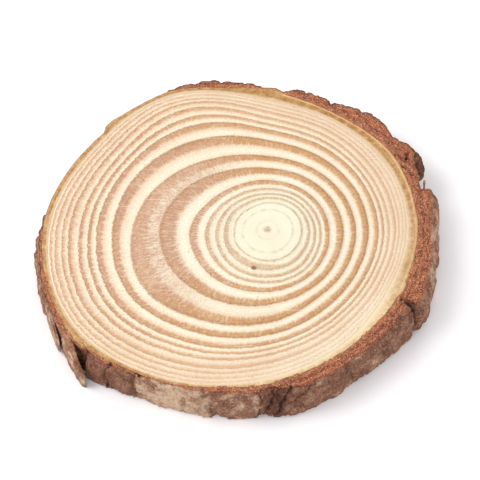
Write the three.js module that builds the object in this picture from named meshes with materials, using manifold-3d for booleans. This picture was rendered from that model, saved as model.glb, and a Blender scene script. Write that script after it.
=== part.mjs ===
// A slice sawn straight across a pine branch, with its bark on: one piece of wood as it grew.
// Millimetres, +Z up. The underside lies on z = 0, and the origin is under the middle of the outline.
// Every curve below is a radius from the pith, the small dark point that the growth rings surround,
// by the angle from +X, counted towards +Y.

import * as THREE from "three";
import { mergeVertices } from "three/addons/utils/BufferGeometryUtils.js";
import Module from "manifold-3d";

// The saw's work: the slice's thickness, how far the inner and the outer bark have shrunk below the
// sawn faces, and how deep the soft early wood lies below the hard late wood, larger than life.
const THICKNESS = 9.5;
const INNER_BARK_SHRINK = 0.3;
const BARK_SHRINK = 0.15;
const RING_RELIEF = 0.25;

// Seven measured years and the wood's edge, every 30 degrees from -180. Each curve is where a
// year's dark late wood stops. The branch grew fastest towards -X, so the pith is off centre.
const YEAR_STEP = 30;
const MEASURED_YEARS = {
  first: [7.7, 8.3, 8.4, 8.6, 8.4, 8.0, 7.9, 8.0, 7.9, 7.6, 7.2, 7.5],
  third: [11.7, 12.5, 13.0, 12.9, 12.6, 11.5, 10.9, 10.6, 10.5, 10.1, 10.3, 10.9],
  fifth: [17.6, 17.9, 17.5, 16.7, 15.7, 14.7, 14.0, 13.8, 13.8, 13.8, 14.2, 15.4],
  sixth: [24.6, 24.0, 22.0, 20.1, 18.6, 17.6, 17.2, 17.1, 17.1, 17.3, 19.1, 22.3],
  seventh: [30.6, 31.8, 28.0, 24.8, 21.4, 20.4, 20.0, 20.0, 20.2, 20.8, 23.4, 27.4],
  eighth: [35.1, 35.3, 31.4, 27.9, 24.6, 23.0, 22.9, 23.2, 24.0, 25.4, 29.8, 33.4],
  eleventh: [42.5, 42.9, 38.0, 33.1, 29.3, 27.5, 27.6, 28.3, 29.9, 32.2, 39.5, 40.2],
  woodEdge: [49.7, 50.0, 45.0, 38.9, 34.3, 31.3, 31.8, 33.3, 35.0, 37.6, 44.9, 46.4],
};

// The years between two measured ones, as shares of the way from the inner to the outer curve. A
// broad year also has the share of it that is late wood, which lies level as a band of its own.
const YEARS = [
  { inner: null, outer: "first", shares: [1] },
  { inner: "first", outer: "third", shares: [0.54, 1] },
  { inner: "third", outer: "fifth", shares: [0.42, 1] },
  { inner: "fifth", outer: "sixth", shares: [1], late: 0.48 },
  { inner: "sixth", outer: "seventh", shares: [1], late: 0.5 },
  { inner: "seventh", outer: "eighth", shares: [1], late: 0.45 },
  { inner: "eighth", outer: "eleventh", shares: [0.475, 0.735, 1] },
  { inner: "eleventh", outer: "woodEdge", shares: [0.32, 0.52, 0.72, 0.87] },
];

// Where in a year, as a share of it, the early wood lies lowest.
const LOWEST_IN_BROAD = 0.15;
const LOWEST_IN_NARROW = 0.3;

// The soft ochre inner bark: its thickness outside the wood, as [degrees, millimetres].
const INNER_BARK = [
  [-180, 1.2], [-150, 1.5], [-143, 1.9], [-140, 1.2], [-134, 0.9], [-125, 1.1], [-105, 1.6],
  [-90, 0.9], [-60, 0.8], [-45, 0.6], [-34, 0.7], [-29, 1.9], [0, 1.9], [30, 2.0], [60, 1.5],
  [78, 1.4], [84, 2.6], [90, 3.2], [96, 1.8], [105, 1.0], [120, 0.8], [138, 1.3], [146, 0.8],
  [165, 1.4],
];

// The bark's rim at the upper face, as [degrees, radius]. It follows the plates that the outer bark
// has broken into: where two points lie close together, a plate ends in a step.
const RIM = [
  [-180, 51.5], [-170, 52.0], [-160, 52.5], [-152, 52.5], [-148, 52.0], [-144, 51.8],
  [-142.5, 51.5], [-141, 50.7], [-139, 50.4], [-136, 50.0], [-134.5, 49.8], [-133, 49.2],
  [-131, 48.8], [-128, 47.7], [-125, 46.9], [-120, 46.3], [-115, 45.3], [-110, 44.6], [-105, 43.8],
  [-100, 43.4], [-95, 42.9], [-93, 42.2], [-91, 41.0], [-89, 41.7], [-87, 41.0], [-84, 42.0],
  [-77, 41.1], [-70, 39.9], [-63, 38.8], [-55, 37.9], [-45, 37.3], [-38, 37.2], [-34, 37.4],
  [-32, 36.8], [-30, 38.8], [-27, 38.8], [-22, 38.3], [-12, 37.6], [0, 37.4], [8, 38.1], [15, 39.1],
  [17, 39.1],
  [19, 37.4], [23, 38.0], [26, 38.5], [30, 39.2], [32, 40.8], [34, 41.2], [36, 41.0], [39, 40.1],
  [44, 40.2], [48, 41.0], [53, 40.9], [63, 40.3], [67, 39.6], [71, 40.2], [76, 41.0], [82, 41.1],
  [84, 40.5], [90, 40.8], [93, 42.0], [100, 43.2], [106, 44.7], [111, 45.7], [118, 46.1],
  [121, 45.8], [131, 46.5], [138, 47.7], [142, 47.6], [144, 46.9], [152, 47.7], [160, 48.6],
  [170, 50.0], [177, 51.0],
];

// The least that the outer bark stands outside the inner bark, where it has broken away.
const LEAST_BARK = 0.1;

// How much further the bark stands out near the underside, as [degrees, millimetres].
const FLARE = [
  [-180, 1.2], [-170, 0.3], [-158, 0], [-144, 0], [-142, 0], [-140, 1.8], [-137, 1.6],
  [-134, 0.7], [-130, 0.3], [-126, 0.5], [-118, 0], [-108, 0.5], [-100, 0.4], [-94, 0.5],
  [-89, 2.1], [-84, 1.1], [-72, 0.6], [-60, 0.9], [-48, 1.4], [-37, 2.1], [-33, 1.8], [-30, 1.3],
  [-22, 1.0], [-8, 1.4], [8, 1.8], [16, 1.7], [18, 0.2], [30, 0.2], [34, 0.6], [90, 0.6],
  [150, 0.7],
];

// Fissures that run down the bark from face to face: the angles where each starts at the upper face
// and ends at the underside, its half width in degrees and its depth.
const FISSURES = [
  { top: -158, foot: -163, half: 2.5, depth: 0.6 },
  { top: -143.6, foot: -143, half: 2.6, depth: 1.0 },
  { top: -126.5, foot: -129, half: 2.0, depth: 0.7 },
  { top: -109, foot: -105, half: 1.8, depth: 0.6 },
  { top: -91, foot: -93, half: 2.2, depth: 1.2 },
  { top: -84, foot: -88, half: 2.0, depth: 1.0 },
  { top: -65, foot: -61, half: 2.4, depth: 0.6 },
  { top: -50, foot: -48, half: 2.0, depth: 0.5 },
  { top: -31.4, foot: -32, half: 2.0, depth: 1.5 },
  { top: -12, foot: -8, half: 2.4, depth: 0.7 },
  { top: 20, foot: 19, half: 3.0, depth: 0.8 },
  { top: 41, foot: 43, half: 3.0, depth: 0.8 },
  { top: 67, foot: 66, half: 2.6, depth: 0.7 },
  { top: 87, foot: 88, half: 4.5, depth: 0.5 },
  { top: 104, foot: 102, half: 2.2, depth: 0.6 },
];

// Scales of the bark that stand proud of it: their angles, their heights as shares of the slice's
// thickness counted down from the upper face, and how far they stand out.
const SCALES = [
  { from: -172, to: -150, upper: 0.2, lower: 1, proud: 0.5 },
  { from: -125, to: -108, upper: 0.1, lower: 1, proud: 0.5 },
  { from: -103, to: -95, upper: 0.12, lower: 0.85, proud: 0.4 },
  { from: -80, to: -67, upper: 0.3, lower: 1, proud: 0.3 },
  { from: -30, to: -14, upper: 0.25, lower: 1, proud: 0.4 },
  { from: 46, to: 62, upper: 0.2, lower: 0.9, proud: 0.4 },
];

// How soft a scale's edges are: in degrees at its two ends, and as a share of the thickness at its
// upper and lower edges.
const SCALE_END = 2;
const SCALE_EDGE = 0.12;

// Two plates have come away from the bark behind them, and their ends stand free. Along each, as
// [degrees, inner radius, outer radius], and the heights of its foot and its upper edge as shares of
// the thickness. The first stands off like a peeling label, and the second curls like an ear.
const FREE_PLATES = [
  [
    [-155, 51.6, 53.0, 0.04, 0.98],
    [-150, 51.9, 53.3, 0.04, 0.98],
    [-147, 52.2, 53.4, 0.04, 0.96],
    [-144, 52.4, 53.6, 0.04, 0.86],
    [-142, 52.7, 53.8, 0.04, 0.74],
    [-140, 52.9, 54.0, 0.04, 0.56],
    [-138.3, 53.2, 54.0, 0.06, 0.34],
  ],
  [
    [23.4, 37.6, 38.6, 0.74, 0.84],
    [24.5, 37.6, 39.7, 0.67, 0.88],
    [26, 37.6, 40.5, 0.62, 0.92],
    [28, 37.8, 41.0, 0.52, 0.93],
    [31, 38.0, 41.2, 0.23, 0.95],
    [34, 38.5, 41.3, 0.06, 0.96],
  ],
];

// Columns of points round the pith: on the smooth rings, and more of them on the rugged bark.
const RING_COLUMNS = 60;
const BARK_COLUMNS = 180;

// Points closer together than this are one point.
const SAME_POINT = 0.0001;

// The wall's rows, as shares of the thickness counted down from the upper face, with how much of
// the flare each has.
const WALL_ROWS = [
  { down: 0.06, flare: 0.15 },
  { down: 0.22, flare: 0.5 },
  { down: 0.42, flare: 0.85 },
  { down: 0.64, flare: 1.0 },
  { down: 0.86, flare: 1.0 },
];
const FOOT_FLARE = 0.8;

const radians = (degrees) => (degrees * Math.PI) / 180;

// A smooth rise from 0 to 1, and the same rise spread evenly about zero over a width.
const smooth = (t) => {
  const s = Math.min(1, Math.max(0, t));
  return s * s * (3 - 2 * s);
};
const step = (distance, width) => smooth(distance / width + 0.5);

// Degrees brought to the turn that starts at -180.
const turn = (degrees) => ((((degrees + 180) % 360) + 360) % 360) - 180;

// A closed curve through evenly spaced radii: a Catmull-Rom cubic between each two.
function ringRadius(radii, degrees) {
  const place = (turn(degrees) + 180) / YEAR_STEP;
  const i = Math.floor(place);
  const t = place - i;
  const [a, b, c, d] = [-1, 0, 1, 2].map((k) => radii[(i + k + radii.length) % radii.length]);
  return b + 0.5 * t * (c - a + t * (2 * a - 5 * b + 4 * c - d + t * (3 * (b - c) + d - a)));
}

// Straight lines between [degrees, value] points that go once round.
function roundTable(points, degrees) {
  const at = turn(degrees);
  const next = points.findIndex(([a]) => a > at);
  const [a0, v0] = points[(next < 0 ? points.length : next) - 1];
  const [a1, v1] = next < 0 ? [points[0][0] + 360, points[0][1]] : points[next];
  return v0 + ((v1 - v0) * (at - a0)) / (a1 - a0);
}

const woodEdge = (degrees) => ringRadius(MEASURED_YEARS.woodEdge, degrees);
const innerBarkEdge = (degrees) => woodEdge(degrees) + roundTable(INNER_BARK, degrees);
const leastBarkEdge = (degrees) => innerBarkEdge(degrees) + LEAST_BARK;
const rim = (degrees) => Math.max(roundTable(RIM, degrees), leastBarkEdge(degrees));

// How deep the fissures and how proud the scales are at a place on the wall.
function barkRelief(degrees, down) {
  let relief = 0;
  for (const { top, foot, half, depth } of FISSURES) {
    const away = Math.abs(turn(degrees - (top + (foot - top) * down)));
    relief -= depth * (1 - smooth(away / half));
  }
  for (const { from, to, upper, lower, proud } of SCALES) {
    const across = step(degrees - from, SCALE_END) * step(to - degrees, SCALE_END);
    const along = step(down - upper, SCALE_EDGE) * step(lower - down, SCALE_EDGE);
    relief += proud * across * along;
  }
  return relief;
}

// The rows of one sawn face, from the pith out to the wood's edge: each has a radius for every
// angle and a depth below the face. Hard late wood stays level and soft early wood lies lower. The
// face shows every year, or only the broad ones and the first.
function ringRows(everyYear) {
  const rows = [];
  let before = () => 0;
  for (const { inner, outer, shares, late } of YEARS) {
    const broad = late !== undefined;
    const lowest = broad ? LOWEST_IN_BROAD : LOWEST_IN_NARROW;
    const from = (degrees) => (inner ? ringRadius(MEASURED_YEARS[inner], degrees) : 0);
    const to = (degrees) => ringRadius(MEASURED_YEARS[outer], degrees);
    for (const share of shares) {
      const previous = before;
      const yearEnd = (degrees) => from(degrees) + share * (to(degrees) - from(degrees));
      const within = (part) => (degrees) =>
        previous(degrees) + part * (yearEnd(degrees) - previous(degrees));
      if (inner && (everyYear || broad)) {
        rows.push({ radius: within(lowest), sunk: RING_RELIEF });
        if (broad) rows.push({ radius: within(1 - late), sunk: 0 });
      }
      if (everyYear || broad || !inner) rows.push({ radius: yearEnd, sunk: 0 });
      before = yearEnd;
    }
  }
  return rows;
}

// A row of points about the pith, as indices of the points that it adds.
function addRow(points, columns, radius, height) {
  const first = points.length / 3;
  for (let i = 0; i < columns; i++) {
    const degrees = -180 + (360 * i) / columns;
    const r = radius(degrees);
    points.push(r * Math.cos(radians(degrees)), r * Math.sin(radians(degrees)), height);
  }
  return Array.from({ length: columns }, (_, i) => first + i);
}

// Triangles between a row and the next one along the profile. It walks round both at once and always
// steps along the row that lies behind, so the rows may have different numbers of points.
function joinRows(faces, a, b) {
  let i = 0;
  let j = 0;
  while (i < a.length || j < b.length) {
    const stepB = j < b.length && (j + 0.5) / b.length <= (i + 0.5) / a.length;
    const [from, across] = [a[i % a.length], b[j % b.length]];
    if (stepB) j++;
    else i++;
    faces.push(from, across, stepB ? b[j % b.length] : a[i % a.length]);
  }
}

function geometryOf(points, faces) {
  const geometry = new THREE.BufferGeometry();
  geometry.setAttribute("position", new THREE.Float32BufferAttribute(points, 3));
  geometry.setIndex(faces);
  return geometry;
}

// The whole slice as one closed skin: the upper face from the pith outwards, down the bark, and
// back along the underside to the pith.
function sliceGeometry() {
  const points = [];
  const faces = [];
  const rows = [];
  const upper = points.push(0, 0, THICKNESS) / 3 - 1;
  for (const { radius, sunk } of ringRows(true))
    rows.push(addRow(points, RING_COLUMNS, radius, THICKNESS - sunk));
  rows.push(addRow(points, BARK_COLUMNS, woodEdge, THICKNESS));
  rows.push(addRow(points, BARK_COLUMNS, innerBarkEdge, THICKNESS - INNER_BARK_SHRINK));
  const crown = (degrees) =>
    Math.max(rim(degrees) + barkRelief(degrees, 0), leastBarkEdge(degrees));
  rows.push(addRow(points, BARK_COLUMNS, crown, THICKNESS - BARK_SHRINK));
  for (const { down, flare } of WALL_ROWS) {
    const wall = (degrees) =>
      rim(degrees) + flare * roundTable(FLARE, degrees) + barkRelief(degrees, down);
    rows.push(addRow(points, BARK_COLUMNS, wall, THICKNESS * (1 - down)));
  }
  const foot = (degrees) =>
    rim(degrees) + FOOT_FLARE * roundTable(FLARE, degrees) + barkRelief(degrees, 1);
  rows.push(addRow(points, BARK_COLUMNS, foot, BARK_SHRINK));
  rows.push(addRow(points, BARK_COLUMNS, innerBarkEdge, INNER_BARK_SHRINK));
  rows.push(addRow(points, BARK_COLUMNS, woodEdge, 0));
  for (const { radius, sunk } of ringRows(false).reverse())
    rows.push(addRow(points, RING_COLUMNS, radius, sunk));
  const lower = points.push(0, 0, 0) / 3 - 1;
  const [first, last] = [rows[0], rows[rows.length - 1]];
  first.forEach((p, i) => faces.push(upper, p, first[(i + 1) % first.length]));
  rows.slice(1).forEach((row, i) => joinRows(faces, rows[i], row));
  last.forEach((p, i) => faces.push(lower, last[(i + 1) % last.length], p));
  return geometryOf(points, faces);
}

// A free plate: a curved strip between its broken lower and upper edges. Its grown end is sunk in
// the bark. Each station along it has four corners, two at the foot and two at the top.
function plateGeometry(stations) {
  const points = [];
  const faces = [];
  for (const [degrees, inner, outer, lower, upper] of stations) {
    const [c, s] = [Math.cos(radians(degrees)), Math.sin(radians(degrees))];
    for (const [r, share] of [[inner, lower], [outer, lower], [outer, upper], [inner, upper]])
      points.push(r * c, r * s, share * THICKNESS);
  }
  const corners = 4;
  for (let i = 0; i + 1 < stations.length; i++)
    for (let k = 0; k < corners; k++) {
      const [a, b] = [corners * i + k, corners * i + ((k + 1) % corners)];
      faces.push(a, a + corners, b, b, a + corners, b + corners);
    }
  const end = corners * (stations.length - 1);
  faces.push(0, 1, 2, 0, 2, 3);
  faces.push(end, end + 2, end + 1, end, end + 3, end + 2);
  return geometryOf(points, faces);
}

const wasm = await Module();
wasm.setup();

function solidOf(geometry) {
  const merged = mergeVertices(geometry, SAME_POINT);
  return new wasm.Manifold(
    new wasm.Mesh({
      numProp: 3,
      vertProperties: merged.attributes.position.array,
      triVerts: new Uint32Array(merged.index.array),
    }),
  );
}

function meshGeometry(solid) {
  const { numProp, vertProperties, triVerts } = solid.getMesh();
  if (numProp !== 3) throw new Error("the joined slice carries more than positions");
  return geometryOf(Array.from(vertProperties), Array.from(triVerts));
}

const body = solidOf(sliceGeometry());
const joined = FREE_PLATES.reduce((solid, plate) => solid.add(solidOf(plateGeometry(plate))), body);
const grown = meshGeometry(joined);
grown.computeVertexNormals();
grown.computeBoundingBox();
const middle = grown.boundingBox.getCenter(new THREE.Vector3());

const pineWithBark = new THREE.MeshStandardMaterial({
  color: 0xe8cda4,
  roughness: 0.85,
  metalness: 0,
  flatShading: true,
});
const slice = new THREE.Mesh(grown, pineWithBark);
slice.name = "wood_slice";
slice.position.set(-middle.x, -middle.y, 0);

const part = new THREE.Group();
part.add(slice);

export default part;
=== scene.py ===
import math
from functools import partial

import bpy
import numpy as np
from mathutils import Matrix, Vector


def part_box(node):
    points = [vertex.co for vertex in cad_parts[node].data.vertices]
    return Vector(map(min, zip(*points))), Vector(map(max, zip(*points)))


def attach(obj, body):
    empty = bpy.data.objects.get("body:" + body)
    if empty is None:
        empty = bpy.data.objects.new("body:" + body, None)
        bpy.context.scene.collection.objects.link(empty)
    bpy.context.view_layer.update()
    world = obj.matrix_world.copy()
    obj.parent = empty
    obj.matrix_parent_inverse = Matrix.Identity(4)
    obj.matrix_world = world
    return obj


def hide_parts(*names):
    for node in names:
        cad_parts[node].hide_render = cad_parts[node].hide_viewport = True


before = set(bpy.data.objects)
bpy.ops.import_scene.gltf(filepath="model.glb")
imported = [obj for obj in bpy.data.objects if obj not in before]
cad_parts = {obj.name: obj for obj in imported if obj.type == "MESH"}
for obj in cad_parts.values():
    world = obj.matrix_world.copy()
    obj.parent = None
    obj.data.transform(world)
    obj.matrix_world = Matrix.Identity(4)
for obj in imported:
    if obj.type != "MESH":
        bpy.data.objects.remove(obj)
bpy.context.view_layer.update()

# Camera, light and floor
# The slice lies flat on a white table and is looked down on from in front. A large soft lamp stands
# to the left and behind, so the shadow is pale and falls to the right and a little to the front.
MM = 0.001
slice_low, slice_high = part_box("wood_slice")
THICKNESS = (slice_high[2] - slice_low[2]) / MM
LOOK_AT = Vector((0.36, -2.83, THICKNESS)) * MM
CAMERA_UP = math.radians(56)
CAMERA_AWAY = 0.45
LENS_MM = 150
LAMP_AT = Vector((-0.60, 0.04, 0.67))
LAMP_SIZE = 0.5
LAMP_WATTS = 4.2
SKY_STRENGTH = 0.97

camera = bpy.data.objects.new("camera", bpy.data.cameras.new("camera"))
camera.data.lens = LENS_MM
camera.data.clip_start = 0.01
camera.location = LOOK_AT + CAMERA_AWAY * Vector((0, -math.cos(CAMERA_UP), math.sin(CAMERA_UP)))
camera.rotation_euler = (math.pi / 2 - CAMERA_UP, 0, 0)
bpy.context.scene.collection.objects.link(camera)
bpy.context.scene.camera = camera

lamp = bpy.data.objects.new("lamp", bpy.data.lights.new("lamp", "AREA"))
lamp.data.size = LAMP_SIZE
lamp.data.energy = LAMP_WATTS
lamp.data.color = (1.0, 0.985, 0.965)
lamp.location = LAMP_AT
lamp.rotation_euler = (LOOK_AT - LAMP_AT).to_track_quat("-Z", "Y").to_euler()
bpy.context.scene.collection.objects.link(lamp)

sky = bpy.data.worlds.new("sky")
sky.use_nodes = True
sky.node_tree.nodes["Background"].inputs["Color"].default_value = (0.985, 0.968, 1.0, 1)
sky.node_tree.nodes["Background"].inputs["Strength"].default_value = SKY_STRENGTH
bpy.context.scene.world = sky
bpy.context.scene.view_settings.view_transform = "Standard"


def linear(colour):
    """An sRGB hex colour as linear red, green, blue and alpha: c/12.92 below 0.04045, and
    ((c + 0.055)/1.055) to the power 2.4 above it."""
    channels = [int(colour[i:i + 2], 16) / 255 for i in (1, 3, 5)]
    return [c / 12.92 if c <= 0.04045 else ((c + 0.055) / 1.055) ** 2.4 for c in channels] + [1.0]


def add_node(tree, kind, *values, output=0, **settings):
    """Adds a shader node with its settings. The values go to its inputs in their order: each is a
    number, a colour or a vector, or another node's output to link. Returns the output asked for."""
    node = tree.nodes.new("ShaderNode" + kind)
    for name, value in settings.items():
        setattr(node, name, value)
    for socket, value in zip([s for s in node.inputs if s.enabled], values):
        if isinstance(value, bpy.types.NodeSocket):
            tree.links.new(value, socket)
        else:
            socket.default_value = value
    return [s for s in node.outputs if s.enabled][output] if node.outputs else None


def blank_material(name):
    """A new material with an empty node tree, and the function that adds a node to it."""
    material = bpy.data.materials.new(name)
    material.use_nodes = True
    material.node_tree.nodes.clear()
    return material, partial(add_node, material.node_tree)


# White laminate: even and matt, so it shows nothing but the shadow.
white_laminate, add = blank_material("white_laminate")
add("OutputMaterial", add("BsdfPrincipled", linear("#FAFAFA"), 0.0, 1.0))

TABLE_HALF = 3.0
TABLE_DROP = 0.00002
table = bpy.data.objects.new("table", bpy.data.meshes.new("table"))
table_signs = ((-1, -1), (1, -1), (1, 1), (-1, 1))
table_corners = [(x * TABLE_HALF, y * TABLE_HALF, -TABLE_DROP) for x, y in table_signs]
table.data.from_pydata(table_corners, [], [(0, 1, 2, 3)])
table.data.materials.append(white_laminate)
bpy.context.scene.collection.objects.link(table)


# Sawn wood
# The branch's wood, cut straight across: a disc with its growth rings on both faces. It is pine, dry
# and lightly sanded. The pith is off centre, because the branch grew fastest on its left side.
PITH = np.array((6.575, 0.028))

# Where the late wood of some years ends, in millimetres from the pith, every 30 degrees from -180.
GROWTH = {
    "first": (7.7, 8.3, 8.4, 8.6, 8.4, 8.0, 7.9, 8.0, 7.9, 7.6, 7.2, 7.5),
    "third": (11.7, 12.5, 13.0, 12.9, 12.6, 11.5, 10.9, 10.6, 10.5, 10.1, 10.3, 10.9),
    "fifth": (17.6, 17.9, 17.5, 16.7, 15.7, 14.7, 14.0, 13.8, 13.8, 13.8, 14.2, 15.4),
    "sixth": (24.6, 24.0, 22.0, 20.1, 18.6, 17.6, 17.2, 17.1, 17.1, 17.3, 19.1, 22.3),
    "seventh": (30.6, 31.8, 28.0, 24.8, 21.4, 20.4, 20.0, 20.0, 20.2, 20.8, 23.4, 27.4),
    "eighth": (35.1, 35.3, 31.4, 27.9, 24.6, 23.0, 22.9, 23.2, 24.0, 25.4, 29.8, 33.4),
    "eleventh": (42.5, 42.9, 38.0, 33.1, 29.3, 27.5, 27.6, 28.3, 29.9, 32.2, 39.5, 40.2),
    "bark": (49.7, 50.0, 45.0, 38.9, 34.3, 31.3, 31.8, 33.3, 35.0, 37.6, 44.9, 46.4),
}
# Each year: the curves that it lies between, where it ends between them, the share of it that is
# late wood on the right and on the left, how dark that is on the right and on the left, and how
# dark the early wood is on the left.
YEARS = (
    (None, "first", 0.33, 0.10, 0.10, 0.16, 0.16, 0.0),
    (None, "first", 0.75, 0.10, 0.10, 0.28, 0.28, 0.0),
    (None, "first", 1.0, 0.22, 0.24, 0.55, 0.66, 0.0),
    ("first", "third", 0.55, 0.44, 0.54, 0.60, 0.70, 0.14),
    ("first", "third", 1.0, 0.46, 0.50, 0.60, 0.70, 0.12),
    ("third", "fifth", 0.40, 0.46, 0.50, 0.60, 0.70, 0.12),
    ("third", "fifth", 1.0, 0.60, 0.56, 0.94, 0.94, 0.0),
    ("fifth", "sixth", 1.0, 0.56, 0.62, 1.00, 0.94, 0.05),
    ("sixth", "seventh", 1.0, 0.46, 0.80, 1.00, 0.76, 0.60),
    ("seventh", "eighth", 1.0, 0.52, 0.50, 0.94, 0.98, 0.10),
    ("eighth", "eleventh", 0.47, 0.46, 0.44, 0.66, 0.94, 0.12),
    ("eighth", "eleventh", 0.73, 0.46, 0.44, 0.50, 0.98, 0.12),
    ("eighth", "eleventh", 1.0, 0.46, 0.44, 0.42, 0.94, 0.18),
    ("eleventh", "bark", 0.33, 0.42, 0.34, 0.34, 0.90, 0.24),
    ("eleventh", "bark", 0.53, 0.42, 0.32, 0.28, 0.78, 0.26),
    ("eleventh", "bark", 0.74, 0.42, 0.30, 0.24, 0.64, 0.24),
    ("eleventh", "bark", 0.89, 0.38, 0.28, 0.20, 0.56, 0.18),
    ("eleventh", "bark", 1.0, 0.30, 0.20, 0.08, 0.10, 0.06),
)
# The fast-grown side lies round this direction, and its wood is browner, with broad late wood.
FAST_SIDE = 174
FAST_SIDE_HALF = 75
# From this year on, the rings are faint round this direction.
FAINT_YEARS = 12
FAINT_SIDE = -5
FAINT_HALF = 110
FAINTER_BY = 0.42
# The last few turn pale cream, between these years, round this direction.
CREAM_YEARS = (12.5, 16.0)
CREAM_SIDE = -62
CREAM_HALF = 42
# The fourth year has broader late wood round this direction, with a resin pocket in it.
SWOLLEN_YEAR = 3
SWOLLEN_SIDE = -112
SWOLLEN_HALF = 50
SWOLLEN_LATE = 0.34
RESIN_POCKET = np.array((3.4, -10.3, 0.0))
# Sanding scratches run this way across the faces.
SCRATCH_TURN = math.radians(-152)
WOOD_COLUMNS = 480
WITHIN_YEAR = (0.01, 0.34, 0.66, 0.99)
# In millimetres: how far soft wood lies below hard, how high the sanding's waves are, how far a ring
# wavers outside the heart's radius, how far the faces lie inside the slice's thickness, and how wide
# and deep the wood's edge is rounded off.
RING_STEP = 0.07
WAVE_HEIGHT = 0.015
RING_WAVER = 0.10
HEART_RADIUS = 6
FACE_INSET = 0.02
EDGE_WIDTH = 0.7
EDGE_ROUNDING = 0.12


def grown(radii, degrees):
    """A closed smooth curve through evenly spaced radii: between each two, the Catmull-Rom cubic
    that leaves each point in the direction from the one before it to the one after it."""
    radii = np.array(radii)
    place = (degrees + 180) * len(radii) / 360
    i = np.floor(place).astype(int)
    t = place - i
    a, b, c, d = (radii[(i + k) % len(radii)] for k in (-1, 0, 1, 2))
    return b + 0.5 * t * (c - a + t * (2 * a - 5 * b + 4 * c - d + t * (3 * (b - c) + d - a)))


def grain(points, size, seed):
    """Noise from -1 to 1: random values at the corners of cubes of that size, in millimetres,
    blended along each axis by s = t*t*(3 - 2*t), where t is the way from one corner to the next."""
    values = np.random.default_rng(seed).uniform(-1, 1, 8192)
    scaled = points / np.asarray(size, float)
    cell = np.floor(scaled).astype(np.int64)
    t = scaled - cell
    t = t * t * (3 - 2 * t)
    total = np.zeros(points.shape[:-1])
    for corner in np.ndindex(2, 2, 2):
        near = cell + np.array(corner)
        key = near[..., 0] * 73856093 ^ near[..., 1] * 19349663 ^ near[..., 2] * 83492791
        weight = np.prod(np.where(np.array(corner) == 1, t, 1 - t), axis=-1)
        total += weight * values[key % len(values)]
    return total


def rough(points, size, seed, octaves=3):
    """Noise summed over octaves: each has half the size and 0.55 of the height of the last."""
    size = np.asarray(size, float)
    return sum(0.55 ** k * grain(points, size / 2 ** k, seed + k) for k in range(octaves))


def smooth(value, low, high):
    """0 up to low and 1 from high, with s = t*t*(3 - 2*t) between them."""
    t = np.clip((value - low) / (high - low), 0, 1)
    return t * t * (3 - 2 * t)


def about_pith(radius, degrees, height):
    """Points in millimetres from a radius, an angle and a height, round the pith."""
    angle = np.radians(degrees)
    x = PITH[0] + radius * np.cos(angle)
    y = PITH[1] + radius * np.sin(angle)
    return np.stack(np.broadcast_arrays(x, y, height), axis=-1)


def closed_skin(name, grid, poles=None, **attributes):
    """A closed mesh over a grid of points: rows along a profile and columns that go round. Four
    neighbours make a face. The profile closes on itself, or ends in two poles, each at its fan."""
    rows, columns = grid.shape[:2]
    index = np.arange(rows * columns).reshape(rows, columns)
    ahead = index if poles is None else index[:-1]
    below = np.roll(index, -1, axis=0)[:len(ahead)]
    faces = np.stack([ahead, below, np.roll(below, -1, axis=1), np.roll(ahead, -1, axis=1)], axis=-1)
    points = grid.reshape(-1, 3)
    fans = []
    if poles is not None:
        points = np.vstack([points, poles])
        first, last = index[0], index[-1]
        top, bottom = rows * columns, rows * columns + 1
        fans = [(top, a, b) for a, b in zip(first.tolist(), np.roll(first, -1).tolist())]
        fans += [(bottom, b, a) for a, b in zip(last.tolist(), np.roll(last, -1).tolist())]
    mesh = bpy.data.meshes.new(name)
    mesh.from_pydata((points * MM).tolist(), [], faces.reshape(-1, 4).tolist() + fans)
    for label, values in attributes.items():
        flat = np.broadcast_to(values, (rows, columns)).reshape(-1)
        if poles is not None:
            flat = np.append(flat, (flat[:columns].mean(), flat[-columns:].mean()))
        layer = mesh.attributes.new(label, "FLOAT", "POINT")
        layer.data.foreach_set("value", flat.astype(np.float32))
    mesh.shade_smooth()
    piece = bpy.data.objects.new(name, mesh)
    bpy.context.scene.collection.objects.link(piece)
    return piece


def wood_face(columns):
    """One sawn face from the pith outwards: the angles, how fast-grown each is, and at each point the
    radius, year, late share, darkness of late and of early wood, and width of the year. A year's rows
    lie between its inner and outer curve, and every curve is shifted a little by noise."""
    around = np.linspace(-180, 180, columns, endpoint=False)
    off_side = np.abs((around - FAST_SIDE + 180) % 360 - 180)
    fast = 1 - smooth(off_side, 0.25 * FAST_SIDE_HALF, 1.15 * FAST_SIDE_HALF)
    swell = 1 - smooth(np.abs(around - SWOLLEN_SIDE), 0.3 * SWOLLEN_HALF, SWOLLEN_HALF)
    faint = 1 - smooth(np.abs(around - FAINT_SIDE), 0.3 * FAINT_HALF, FAINT_HALF)
    edges = [np.zeros(columns)]
    for inner, outer, share, *_ in YEARS:
        low = grown(GROWTH[inner], around) if inner else 0
        edge = low + share * (grown(GROWTH[outer], around) - low)
        wave = grain(about_pith(edge, around, 3.0 * len(edges)), (5, 5, 9), 11)
        last = outer == "bark" and share == 1.0
        edges.append(edge if last else edge + RING_WAVER * wave * (edge > HEART_RADIUS))
    radius, year, late, dark, haze, width = [], [], [], [], [], []
    for k, (_, _, _, late_right, late_left, dark_right, dark_left, haze_left) in enumerate(YEARS):
        for part in WITHIN_YEAR:
            if k == 0 and part == WITHIN_YEAR[0]:
                continue
            radius.append(edges[k] + part * (edges[k + 1] - edges[k]))
            year.append(np.full(columns, k + part))
            swollen = SWOLLEN_LATE * swell if k == SWOLLEN_YEAR else 0
            late.append(late_right + fast * (late_left - late_right) + swollen)
            fades = faint * (k >= FAINT_YEARS)
            dark.append((dark_right + fast * (dark_left - dark_right)) * (1 - FAINTER_BY * fades))
            haze.append(fast * haze_left)
            width.append(edges[k + 1] - edges[k])
    radius[-1] = edges[-1]
    return around, fast, [np.array(a) for a in (radius, year, late, dark, haze, width)]


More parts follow.
